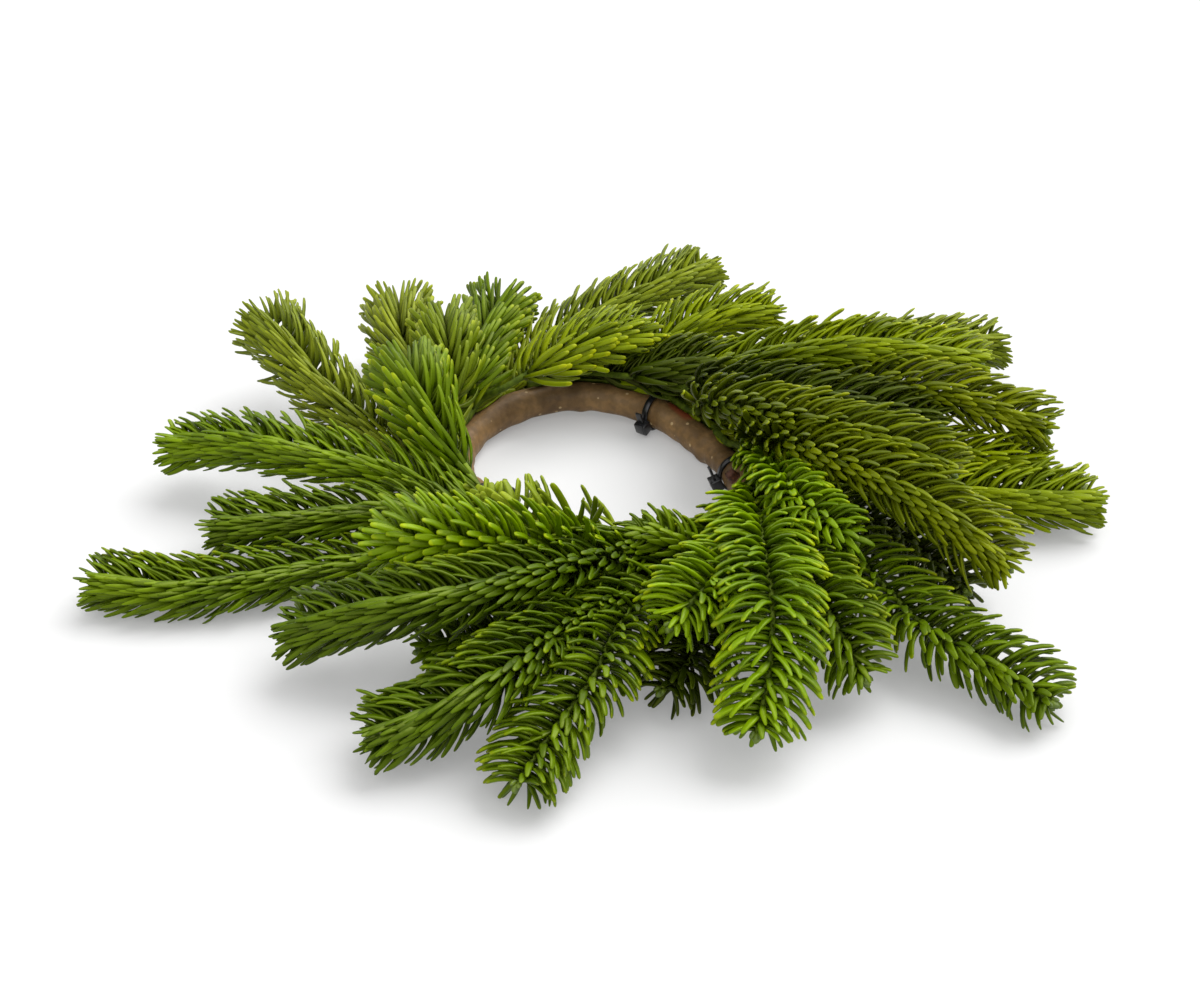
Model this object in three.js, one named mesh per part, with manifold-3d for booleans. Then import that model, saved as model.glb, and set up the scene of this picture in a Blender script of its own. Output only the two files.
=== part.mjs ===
// Fresh evergreen wreath: fir sprays strapped round a ring made of one bent branch.
// Millimetres, +Z up. The wreath lies flat on the plane z = 0.
import * as THREE from 'three';
import { mergeVertices } from 'three/addons/utils/BufferGeometryUtils.js';
import Module from 'manifold-3d';

const wasm = await Module();
wasm.setup();

// Clear gap between one piece and the next, and between a needle and the surface below.
const GAP = 0.3;
// Corners closer than this are one corner.
const WELD = 1e-4;
// From the ring's own centre to the middle of the whole wreath's outline.
const WREATH_MIDDLE = { x: -3.8, y: -37.3 };

// Ring: a branch bent into a loop that is not quite round and not quite flat.
const RING_RADIUS = 60.5;
const RING_CENTRE_Y = -3.9;
const RING_WAVES = [
  { perTurn: 1, height: 4.4, phase: 192 },
  { perTurn: 2, height: 8, phase: 110 },
  { perTurn: 3, height: 0.5, phase: 218 },
];
const BRANCH_RADIUS = 6.5;
const BRANCH_WAVES = [
  { perTurn: 5, height: 0.25, phase: 60 },
  { perTurn: 11, height: 0.2, phase: 0 },
];
const RING_SIDES = 12;
const RING_STEPS = 48;
// The ring touches the ground at three low spots and rises between them.
const LOW_SPOTS = 3;
const FIRST_LOW_SPOT = 37.5;
const RING_RISE = 3.4;
const LOW_SPOT_SINK = 0.16;
// Stub of a side branch that broke off the ring.
const STUB = { at: -11, facing: 130, radius: 2.6, brokenRadius: 2.08, length: 11, sides: 8 };
// Half the span, in degrees, over which the ring's direction is taken.
const HALF_SPAN = 0.5;

// Ties: nylon straps round the ring and the stems that lie on it there.
const TIE_ANGLES = [71, 4, 325, 234, 206];
const STRAP_THICKNESS = 1.1;
const STRAP_WIDTH = 2.8;
const STRAP_SIDES = 16;
const STRAP_EASE = 0.15;
const TIE_HEAD = { width: 5.8, height: 5.6, depth: 4.4, bevel: 1, facing: 202 };
const TIE_TAIL = 3;
// Room kept for the straps and heads when needles are placed.
const STRAP_ROOM = 0.2;
const HEAD_ROOM = 4.35;

// Stems lie along the ring in three lanes, given as angles round the branch from outward.
const LANE_ANGLES = { outer: 5, shoulder: 40, top: 75 };
const STEM_RADIUS = 1.6;
const TIP_RADIUS = 1.2;
const STEM_RUN = 12;
const LIFT_OFF = { turn: 8, rise: 2.2 };
const TWIG_SIDES = 4;
const TWIG_STEP = 4.6;
const BUD_LENGTH = 2.5;
const ROD_LENGTH = 12;
// Share of the twig's radius within which a corner or a facet belongs to an end cap.
const CAP_MIDDLE = 0.4;
// Facets this near along the twig and round it are too close for two needles.
const BESIDE = { along: 1.2 * TWIG_STEP, turn: 60 };
const FACET_TURN_WEIGHT = 5;

// Needles: blunt and three-sided, with the last ones of a spray shorter and pointing forward.
// Those that would cross another piece are tried with the turns, bends and shares of length below.
const NEEDLE_LENGTH = 24;
const TIP_NEEDLES = 15;
const TIP_SETBACK = 9;
const TIP_OPENING = 34;
const NEEDLE_RADIUS = 1.2;
const ROOM = 0.4;
// Shares of a needle, from its root, that may be near its own twig or the next needle.
const FREE_OF_TWIG = 0.15;
const FREE_OF_NEEDLES = 0.04;
const NEEDLE_SPACING = 4;
const BARE_STEM = 24;
const LEAN = { tip: 18, side: 54 };
const GOLDEN_ANGLE = 137.5;
const TURNS = [0, 45, -45, 90, -90, 135, -135];
const BENDS = [0, 14, -14, 28, -28];
const SHORTER = [1, 0.85, 0.7, 0.55];
// Turn between the first needle of one spray and that of the next.
const FIRST_TURN = 50;
const SEED = 20;

// Each spray: where its stem leaves the ring (degrees), its lane, and its points to the tip.
const SPRAYS = [
  ['left_bright', 205, 'top', [[-69, -13, 32], [-79, 3, 44], [-87, 30, 44]]],
  ['back_left_far', 195, 'outer', [[-88, 5, 14], [-120, 37, 24], [-139, 61, 33], [-156, 83, 38]]],
  ['back_left_dark', 180, 'shoulder', [[-77, 37, 22], [-90, 70, 28], [-96, 111, 30]]],
  ['back_left_short', 177, 'top', [[-67, 28, 26], [-70, 50, 38], [-73, 83, 40]]],
  ['back_left_fan', 165, 'outer', [[-64, 40, 20], [-59, 78, 26], [-47, 122, 28]]],
  ['back_bright', 148, 'top', [[-46, 40, 26], [-16, 57, 36], [17, 74, 36]]],
  ['back_far_left', 137, 'outer', [[-32, 90, 16], [4, 119, 24], [49, 154, 26]]],
  ['back_far_right', 113, 'outer', [[13, 83, 18], [42, 99, 26], [79, 107, 26]]],
  ['back_dark', 108, 'top', [[9, 52, 25], [34, 48, 30], [60, 40, 26]]],
  ['right_back_pale', 88, 'outer', [[65, 68, 18], [118, 79, 24], [177, 93, 18]]],
  ['right_back_gold', 86, 'shoulder', [[55, 45, 34], [100, 37, 46], [162, 38, 38]]],
  ['right_dark', 81, 'top', [[53, 12, 40], [98, -1, 40], [141, -5, 32]]],
  ['right_middle', 64, 'outer', [[108, 7, 20], [151, -11, 20], [185, -11, 16]]],
  ['right_upper', 60, 'shoulder', [[80, 36, 30], [128, 9, 42], [185, -7, 30]]],
  ['right_olive_upper', 56, 'top', [[36, 11, 36], [71, -28, 50], [112, -58, 54], [137, -72, 48]]],
  ['right_far', 40, 'outer', [[110, -20, 12], [161, -31, 14], [202, -30, 12]]],
  ['right_olive_lower', 36, 'shoulder', [[67, -34, 44], [103, -74, 50], [132, -97, 42], [155, -107, 26]]],
  ['front_right', 4, 'shoulder', [[71, -96, 30], [81, -146, 32], [95, -163, 12]]],
  ['right_low_dark', 15, 'outer', [[96, -42, 16], [117, -70, 18], [140, -104, 14]]],
  ['right_curl', 20, 'top', [[61, -29, 32], [72, -77, 44], [86, -95, 40], [97, -95, 30]]],
  ['front_right_far', 349, 'outer', [[93, -78, 18], [118, -132, 20], [142, -152, 16], [164, -173, 12]]],
  ['front_centre', 345, 'top', [[56, -114, 44], [57, -156, 46], [55, -177, 34], [49, -200, 14]]],
  ['front_small', 321, 'top', [[33, -88, 28], [18, -89, 34], [2, -87, 34]]],
  ['front_low', 325, 'outer', [[36, -119, 16], [27, -146, 14], [13, -164, 10]]],
  ['front_curl', 337, 'shoulder', [[46, -112, 36], [29, -147, 44], [16, -159, 34]]],
  ['front_droop', 312, 'shoulder', [[4, -134, 26], [-8, -172, 26], [-23, -195, 18], [-37, -223, 12]]],
  ['front_left_long', 300, 'outer', [[-16, -137, 26], [-41, -175, 30], [-65, -185, 20], [-93, -192, 12]]],
  ['front_left_big', 297, 'top', [[-27, -122, 38], [-60, -143, 42], [-90, -139, 32], [-126, -132, 16]]],
  ['front_left_lime', 286, 'shoulder', [[-35, -107, 41], [-61, -115, 48], [-92, -107, 42]]],
  ['front_left_low', 276, 'outer', [[-28, -119, 16], [-53, -132, 16], [-79, -137, 12]]],
  ['front_inner', 273, 'top', [[-20, -87, 32], [-40, -68, 32], [-57, -41, 26]]],
  ['left_middle', 262, 'shoulder', [[-76, -58, 24], [-116, -59, 22], [-164, -58, 16]]],
  ['left_long', 252, 'outer', [[-84, -72, 12], [-122, -82, 12], [-164, -92, 11], [-208, -88, 12]]],
  ['left_upper', 228, 'outer', [[-82, -33, 24], [-114, -27, 30], [-148, -12, 28], [-188, 0, 20]]],
];

const bark = new THREE.MeshStandardMaterial({ color: 0x6f5d49, roughness: 0.75, metalness: 0 });
const nylon = new THREE.MeshStandardMaterial({ color: 0x101012, roughness: 0.35, metalness: 0 });
const fir = new THREE.MeshStandardMaterial({ color: 0x4f7f24, roughness: 0.5, metalness: 0 });

const radians = THREE.MathUtils.degToRad;
const UP = new THREE.Vector3(0, 0, 1);
const PARALLEL = 1e-9;

function waves(list, degrees) {
  return list.reduce((sum, w) => sum + w.height * Math.cos(radians(w.perTurn * degrees + w.phase)), 0);
}

// ---- The ring's own coordinates: an angle round the ring, and an angle round the branch ----

function branchRadius(degrees) {
  return BRANCH_RADIUS + waves(BRANCH_WAVES, degrees);
}

function ringCentre(degrees) {
  const reach = RING_RADIUS + waves(RING_WAVES, degrees);
  const rise = RING_RISE * (1 - Math.cos(radians(LOW_SPOTS * (degrees - FIRST_LOW_SPOT)))) / 2;
  const flatSide = branchRadius(degrees) * Math.cos(Math.PI / RING_SIDES);
  return new THREE.Vector3(
    reach * Math.cos(radians(degrees)),
    reach * Math.sin(radians(degrees)) + RING_CENTRE_Y,
    flatSide - LOW_SPOT_SINK + rise,
  );
}

// Centre of the branch, its clockwise direction seen from above, and its outward side.
function ringFrame(degrees) {
  const along = ringCentre(degrees - HALF_SPAN).sub(ringCentre(degrees + HALF_SPAN)).setZ(0).normalize();
  const outward = new THREE.Vector3().crossVectors(UP, along);
  return { centre: ringCentre(degrees), along, outward };
}

function onRing(degrees, facing, distance) {
  const { centre, outward } = ringFrame(degrees);
  const reach = branchRadius(degrees) + distance;
  centre.addScaledVector(outward, reach * Math.cos(radians(facing)));
  return centre.addScaledVector(UP, reach * Math.sin(radians(facing)));
}

// ---- Solids: three.js shapes, joined as closed bodies ----

function solidOf(geometry) {
  const bare = geometry.index ? geometry.clone() : geometry;
  bare.deleteAttribute('normal');
  bare.deleteAttribute('uv');
  const merged = mergeVertices(bare, WELD);
  const mesh = new wasm.Mesh({
    numProp: 3,
    vertProperties: new Float32Array(merged.attributes.position.array),
    triVerts: new Uint32Array(merged.index.array),
  });
  mesh.merge();
  return new wasm.Manifold(mesh);
}

function geometryOf(solid) {
  const mesh = solid.getMesh();
  const geometry = new THREE.BufferGeometry();
  geometry.setAttribute('position', new THREE.BufferAttribute(mesh.vertProperties, 3));
  geometry.setIndex(new THREE.BufferAttribute(mesh.triVerts, 1));
  return geometry;
}

function place(geometry, origin, xAxis, yAxis, zAxis) {
  const matrix = new THREE.Matrix4().makeBasis(xAxis, yAxis, zAxis).setPosition(origin);
  return geometry.clone().applyMatrix4(matrix);
}

// ---- Ring ----

function ringBranch() {
  const torus = new THREE.TorusGeometry(RING_RADIUS, BRANCH_RADIUS, RING_SIDES, RING_STEPS);
  const position = torus.attributes.position;
  for (let i = 0; i < position.count; i += 1) {
    const [x, y, z] = [position.getX(i), position.getY(i), position.getZ(i)];
    const around = THREE.MathUtils.radToDeg(Math.atan2(y, x));
    const facing = THREE.MathUtils.radToDeg(Math.atan2(z, Math.hypot(x, y) - RING_RADIUS));
    const point = onRing(around, facing + 180 / RING_SIDES, 0);
    position.setXYZ(i, point.x, point.y, Math.max(point.z, 0));
  }
  return torus;
}

function ringStub() {
  const stub = new THREE.CylinderGeometry(STUB.brokenRadius, STUB.radius, STUB.length, STUB.sides);
  stub.translate(0, STUB.length / 2, 0);
  const { centre, along, outward } = ringFrame(STUB.at);
  const axis = outward.clone().multiplyScalar(Math.cos(radians(STUB.facing)));
  axis.addScaledVector(UP, Math.sin(radians(STUB.facing)));
  return place(stub, centre, along, axis, new THREE.Vector3().crossVectors(along, axis));
}

function ringGeometry() {
  return geometryOf(solidOf(ringBranch()).add(solidOf(ringStub())));
}

// ---- Ties ----

// Circles that a strap goes round, in the branch's cross-section: the branch and its stems.
function strappedCircles(degrees) {
  const circles = [{ x: 0, y: 0, radius: branchRadius(degrees) }];
  for (const [, leaves, lane] of SPRAYS) {
    const passed = THREE.MathUtils.euclideanModulo(degrees - leaves, 360);
    if (passed > STEM_RUN) continue;
    const reach = branchRadius(degrees) + GAP + STEM_RADIUS;
    const facing = radians(LANE_ANGLES[lane]);
    circles.push({ x: reach * Math.cos(facing), y: reach * Math.sin(facing), radius: STEM_RADIUS });
  }
  return circles;
}

// Straight-sided outline that wraps the circles, the given distance outside them.
function wrapOutline(circles, distance) {
  const step = 2 * Math.PI / STRAP_SIDES;
  const support = (angle) => distance + Math.max(
    ...circles.map((c) => c.x * Math.cos(angle) + c.y * Math.sin(angle) + c.radius),
  );
  const corners = [];
  for (let i = 0; i < STRAP_SIDES; i += 1) {
    const [a, b] = [i * step, (i + 1) * step];
    const [p, q] = [support(a), support(b)];
    corners.push(new THREE.Vector2(
      (p * Math.sin(b) - q * Math.sin(a)) / Math.sin(step),
      (q * Math.cos(a) - p * Math.cos(b)) / Math.sin(step),
    ));
  }
  return corners;
}

function tieHead(reach) {
  const { width, height, depth, bevel } = TIE_HEAD;
  const outline = new THREE.Shape();
  outline.moveTo(0, -height / 2);
  outline.lineTo(depth - bevel, -height / 2);
  outline.lineTo(depth, bevel - height / 2);
  outline.lineTo(depth, height / 2 - bevel);
  outline.lineTo(depth - bevel, height / 2);
  outline.lineTo(0, height / 2);
  const head = new THREE.ExtrudeGeometry(outline, { depth: width, bevelEnabled: false });
  head.translate(reach, 0, -width / 2);
  const tail = new THREE.BoxGeometry(STRAP_THICKNESS, height + 2 * TIE_TAIL, STRAP_WIDTH);
  tail.translate(reach + depth / 2, -TIE_TAIL, 0);
  return solidOf(head).add(solidOf(tail));
}

function tieGeometry(degrees) {
  const circles = strappedCircles(degrees);
  const shape = new THREE.Shape(wrapOutline(circles, GAP + STRAP_EASE + STRAP_THICKNESS));
  shape.holes.push(new THREE.Path(wrapOutline(circles, GAP + STRAP_EASE)));
  const strap = new THREE.ExtrudeGeometry(shape, { depth: STRAP_WIDTH, bevelEnabled: false });
  strap.translate(0, 0, -STRAP_WIDTH / 2);
  const reach = branchRadius(degrees) + GAP + STRAP_THICKNESS / 2;
  const head = tieHead(reach).rotate([0, 0, TIE_HEAD.facing]);
  const { centre, outward } = ringFrame(degrees);
  const side = new THREE.Vector3().crossVectors(outward, UP);
  return place(geometryOf(solidOf(strap).add(head)), centre, outward, UP, side);
}

// ---- Sprays: a curved twig with needles raised from its facets all round it ----

// The stem lies on the ring, lifts off it and ends short of the foremost needles.
function twigCurve([, leaves, lane, points]) {
  const facing = LANE_ANGLES[lane];
  const seat = GAP + STEM_RADIUS;
  const run = [1, 0.5, 0].map((part) => onRing(leaves + part * STEM_RUN, facing, seat));
  const liftOff = onRing(leaves - LIFT_OFF.turn, facing, seat + LIFT_OFF.rise);
  const free = points.map(([x, y, z]) => new THREE.Vector3(x, y, z));
  const [before, end] = free.slice(-2);
  end.add(before.clone().sub(end).setLength(TIP_SETBACK));
  return new THREE.CatmullRomCurve3([...run, liftOff, ...free], false, 'centripetal');
}

function twigFrame(curve, t) {
  const forward = curve.getTangentAt(t);
  const side = new THREE.Vector3().crossVectors(forward, UP).normalize();
  const above = new THREE.Vector3().crossVectors(side, forward);
  return { origin: curve.getPointAt(t), forward, side, above };
}

function twigRadius(t) {
  return THREE.MathUtils.lerp(STEM_RADIUS, TIP_RADIUS, t);
}

function isBeside(facet, other) {
  const apart = Math.abs(facet.along - other.along);
  return apart < BESIDE.along && Math.cos(facet.turn - other.turn) > Math.cos(radians(BESIDE.turn));
}

// A straight rod of unit size bent along the curve, kept as corners and facets.
function bendTwig(curve) {
  const steps = Math.round(curve.getLength() / TWIG_STEP);
  const tube = new THREE.CylinderGeometry(1, 1, 1, TWIG_SIDES, steps);
  tube.deleteAttribute('normal');
  tube.deleteAttribute('uv');
  const rodShape = mergeVertices(tube, WELD);
  const position = rodShape.attributes.position;
  const straight = [];
  const corners = [];
  for (let i = 0; i < position.count; i += 1) {
    const [x, y, z] = [position.getX(i), position.getY(i), position.getZ(i)];
    const t = THREE.MathUtils.clamp(y + 0.5, 0, 1);
    const { origin, forward, side, above } = twigFrame(curve, t);
    origin.addScaledVector(side, x * twigRadius(t));
    origin.addScaledVector(above, z * twigRadius(t));
    const isBud = t === 1 && Math.hypot(x, z) < CAP_MIDDLE;
    corners.push(origin.addScaledVector(forward, isBud ? BUD_LENGTH : 0));
    straight.push(new THREE.Vector3(x, t * curve.getLength(), z));
  }
  const facets = [];
  const index = rodShape.index.array;
  for (let i = 0; i < index.length; i += 3) {
    const abc = [index[i], index[i + 1], index[i + 2]];
    const middle = abc.reduce((sum, c) => sum.add(straight[c]), new THREE.Vector3()).divideScalar(3);
    const isCap = Math.hypot(middle.x, middle.z) < CAP_MIDDLE;
    facets.push({ abc, along: middle.y, turn: Math.atan2(middle.z, middle.x), isCap });
  }
  facets.forEach((facet) => {
    facet.beside = facets.filter((other) => isBeside(facet, other));
  });
  return { corners, facets };
}

// Turns one facet of the twig into a three-sided needle that ends in a small flat facet.
function raiseNeedle(corners, triangles, facet, { root, tip }) {
  const axis = tip.clone().sub(root).normalize();
  const ends = facet.abc.map((corner) => {
    const outward = corners[corner].clone().sub(root);
    outward.addScaledVector(axis, -outward.dot(axis)).setLength(NEEDLE_RADIUS);
    return corners.push(tip.clone().add(outward)) - 1;
  });
  facet.abc.forEach((corner, i) => {
    const j = (i + 1) % 3;
    triangles.push([corner, facet.abc[j], ends[j]], [corner, ends[j], ends[i]]);
  });
  triangles.push(ends);
}

function sprayGeometry(spray) {
  const corners = spray.twig.corners.map((corner) => corner.clone());
  const triangles = [];
  for (const facet of spray.twig.facets) {
    if (facet.needle) raiseNeedle(corners, triangles, facet, facet.needle);
    else triangles.push(facet.abc);
  }
  const geometry = new THREE.BufferGeometry().setFromPoints(corners);
  return geometry.setIndex(triangles.flat());
}

// ---- Clearance between rods: each rod is a straight line with a radius ----

function rod(root, tip, radius, owner) {
  const middle = root.clone().add(tip).multiplyScalar(0.5);
  return { root, tip, radius, owner, middle, reach: root.distanceTo(tip) / 2 + radius };
}

// The part of a needle beyond the given share of its length.
function beyond(share, line) {
  return { root: line.root.clone().lerp(line.tip, share), tip: line.tip };
}

// Shortest distance between two straight lines of limited length.
function lineDistance(a, b) {
  const u = a.tip.clone().sub(a.root);
  const v = b.tip.clone().sub(b.root);
  const w = a.root.clone().sub(b.root);
  const [uu, uv, vv, uw, vw] = [u.dot(u), u.dot(v), v.dot(v), u.dot(w), v.dot(w)];
  const clamp = (value) => THREE.MathUtils.clamp(value, 0, 1);
  const slant = uu * vv - uv * uv;
  let s = slant > PARALLEL ? clamp((uv * vw - vv * uw) / slant) : 0;
  const t = clamp((uv * s + vw) / vv);
  s = clamp((uv * t - uw) / uu);
  return w.addScaledVector(u, s).addScaledVector(v, -t).length();
}

function isClear(candidate, rods) {
  if (Math.min(candidate.root.z, candidate.tip.z) < candidate.radius + GAP) return false;
  return rods.every((other) => {
    if (candidate.middle.distanceTo(other.middle) > candidate.reach + other.reach + GAP) return true;
    const apart = candidate.radius + other.radius;
    if (other.owner !== candidate.owner) return lineDistance(candidate, other) >= apart + GAP;
    const free = other.isNeedle ? FREE_OF_NEEDLES : FREE_OF_TWIG;
    const neighbour = other.isNeedle ? beyond(free, other) : other;
    return lineDistance(beyond(free, candidate), neighbour) >= apart - 2 * ROOM;
  });
}

function seededRandom(seed) {
  let state = seed;
  return () => {
    state = (state * 1664525 + 1013904223) % 4294967296;
    return state / 4294967296;
  };
}

// ---- Building the sprays together, so that no needle crosses another spray ----

function ringRods() {
  const rods = [];
  const step = 360 / RING_STEPS;
  for (let i = 0; i < RING_STEPS; i += 1) {
    const radius = branchRadius(i * step) + GAP;
    rods.push(rod(ringCentre(i * step), ringCentre((i + 1) * step), radius, 'ring'));
  }
  const stubTip = onRing(STUB.at, STUB.facing, STUB.length - BRANCH_RADIUS);
  rods.push(rod(ringCentre(STUB.at), stubTip, STUB.radius, 'ring'));
  return rods;
}

function tieRods(degrees) {
  const { centre, outward } = ringFrame(degrees);
  const at = ({ x, y }) => centre.clone().addScaledVector(outward, x).addScaledVector(UP, y);
  const corners = wrapOutline(strappedCircles(degrees), GAP + STRAP_THICKNESS / 2).map(at);
  const rods = corners.map((corner, i) => (
    rod(corner, corners[(i + 1) % corners.length], STRAP_WIDTH / 2 + STRAP_ROOM, 'tie')
  ));
  const head = onRing(degrees, TIE_HEAD.facing, STRAP_THICKNESS);
  rods.push(rod(head, onRing(degrees, TIE_HEAD.facing, TIE_HEAD.depth), HEAD_ROOM, 'tie'));
  return rods;
}

function twigRods({ name, curve }) {
  const rods = [];
  const pieces = Math.round(curve.getLength() / ROD_LENGTH);
  for (let i = 0; i < pieces; i += 1) {
    const [start, end] = [curve.getPointAt(i / pieces), curve.getPointAt((i + 1) / pieces)];
    rods.push(rod(start, end, twigRadius(i / pieces), name));
  }
  return rods;
}

function startSpray(row, index) {
  const curve = twigCurve(row);
  const length = curve.getLength();
  const count = Math.round((length - BARE_STEM) / NEEDLE_SPACING);
  return { name: row[0], curve, length, count, firstTurn: index * FIRST_TURN, twig: bendTwig(curve) };
}

// The free facet nearest to a place along the twig and a turn round it.
function nearestFacet(spray, along, degrees) {
  const distance = (facet) => {
    const turned = Math.cos(facet.turn - radians(degrees));
    return Math.abs(facet.along - along) + FACET_TURN_WEIGHT * (1 - turned);
  };
  const taken = (facet) => facet.isCap || facet.beside.some((next) => next.needle);
  const free = spray.twig.facets.filter((facet) => !taken(facet));
  return free.reduce((best, facet) => (distance(facet) < distance(best) ? facet : best));
}

// Needles near the tip point forward and are shorter; further back they stand out sideways.
function needleLine(spray, facet, bend, shorten) {
  const { forward, side, above } = twigFrame(spray.curve, facet.along / spray.length);
  const root = facet.abc.reduce((sum, c) => sum.add(spray.twig.corners[c]), new THREE.Vector3());
  root.divideScalar(3);
  const opening = THREE.MathUtils.smoothstep(spray.length - facet.along, 0, TIP_OPENING);
  const lean = radians(THREE.MathUtils.lerp(LEAN.tip, LEAN.side, opening));
  const length = THREE.MathUtils.lerp(TIP_NEEDLES, NEEDLE_LENGTH, opening) * shorten;
  const turn = facet.turn + radians(bend);
  const direction = forward.multiplyScalar(Math.cos(lean));
  direction.addScaledVector(side, Math.sin(lean) * Math.cos(turn));
  direction.addScaledVector(above, Math.sin(lean) * Math.sin(turn));
  const tip = root.clone().addScaledVector(direction, length);
  return { ...rod(root, tip, NEEDLE_RADIUS + ROOM, spray.name), isNeedle: true };
}

// A needle that would cross another piece grows from the next facet, is bent, or is shorter.
function clearNeedle(spray, k, rods, random) {
  const along = spray.length - (k + random()) * NEEDLE_SPACING;
  const turn = spray.firstTurn + k * GOLDEN_ANGLE;
  for (const shorten of SHORTER) {
    for (const turned of TURNS) {
      const facet = nearestFacet(spray, along, turn + turned);
      for (const bend of BENDS) {
        const needle = needleLine(spray, facet, bend, shorten);
        if (isClear(needle, rods)) return { facet, needle };
      }
    }
  }
  return null;
}

function buildSprays() {
  const sprays = SPRAYS.map(startSpray);
  const rods = [...ringRods(), ...TIE_ANGLES.flatMap(tieRods), ...sprays.flatMap(twigRods)];
  const random = seededRandom(SEED);
  const rounds = Math.max(...sprays.map((spray) => spray.count));
  for (let k = 0; k < rounds; k += 1) {
    for (const spray of sprays) {
      const found = k < spray.count ? clearNeedle(spray, k, rods, random) : null;
      if (!found) continue;
      found.facet.needle = found.needle;
      rods.push(found.needle);
    }
  }
  return sprays;
}

// ---- The wreath ----

function named(name, geometry, material) {
  const mesh = new THREE.Mesh(geometry, material);
  mesh.name = name;
  return mesh;
}

const group = new THREE.Group();
group.position.set(-WREATH_MIDDLE.x, -WREATH_MIDDLE.y, 0);
group.add(named('ring', ringGeometry(), bark));
TIE_ANGLES.forEach((degrees, i) => {
  group.add(named(`tie_${i + 1}`, tieGeometry(degrees), nylon));
});
for (const spray of buildSprays()) {
  group.add(named(`spray_${spray.name}`, sprayGeometry(spray), fir));
}

export default group;
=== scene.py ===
"""Fresh fir wreath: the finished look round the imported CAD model.

Lengths are in mm, in the wreath's own coordinates, unless a name or a comment says otherwise.
"""
import math

import bpy
import numpy as np
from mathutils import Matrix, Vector


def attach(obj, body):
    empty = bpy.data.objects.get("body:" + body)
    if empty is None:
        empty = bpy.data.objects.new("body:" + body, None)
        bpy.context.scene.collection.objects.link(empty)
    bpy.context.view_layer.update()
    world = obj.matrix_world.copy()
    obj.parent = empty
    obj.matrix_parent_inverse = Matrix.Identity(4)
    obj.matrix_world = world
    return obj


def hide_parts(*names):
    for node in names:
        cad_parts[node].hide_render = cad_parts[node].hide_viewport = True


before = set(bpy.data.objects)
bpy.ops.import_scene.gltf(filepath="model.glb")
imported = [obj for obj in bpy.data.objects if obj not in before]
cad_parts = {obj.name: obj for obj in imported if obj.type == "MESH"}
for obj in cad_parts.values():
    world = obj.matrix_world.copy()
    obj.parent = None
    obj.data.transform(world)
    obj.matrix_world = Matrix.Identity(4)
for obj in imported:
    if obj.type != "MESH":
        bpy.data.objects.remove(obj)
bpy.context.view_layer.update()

MM = 0.001
UP = np.array([0.0, 0.0, 1.0])
GOLDEN_ANGLE = math.radians(137.508)
FULL_TURN = 2 * math.pi

# ---- The wreath's coordinates and sizes, repeated from the CAD source ----

MIDDLE = np.array([-3.8, -37.3, 0.0])
RING_RADIUS = 60.5
RING_CENTRE_Y = -3.9
RING_WAVES = ((1, 4.4, 192), (2, 8.0, 110), (3, 0.5, 218))
BRANCH_RADIUS = 6.5
BRANCH_WAVES = ((5, 0.25, 60), (11, 0.2, 0))
RING_SIDES = 12
RING_RISE = 3.4
LOW_SPOTS = 3
FIRST_LOW_SPOT = 37.5
LOW_SPOT_SINK = 0.16
GAP = 0.3
STUB = {"at": -11, "facing": 130, "radius": 2.6, "length": 11.0}
TIE_ANGLES = (71, 4, 325, 234, 206)
STRAP_THICKNESS = 1.1
STRAP_WIDTH = 2.8
STRAP_EASE = 0.15
HEAD = {"width": 5.8, "height": 5.6, "depth": 4.4, "facing": 202}
TIE_TAIL = 3.0
# Where a stem lies on the branch, in degrees from its outer side upwards.
LANES = {"outer": 5, "shoulder": 40, "top": 75}
STEM_RADIUS = 1.6
TIP_RADIUS = 1.2
STEM_RUN = 12
LIFT_OFF = {"turn": 8, "rise": 2.2}
TIP_SETBACK = 9.0

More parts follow.
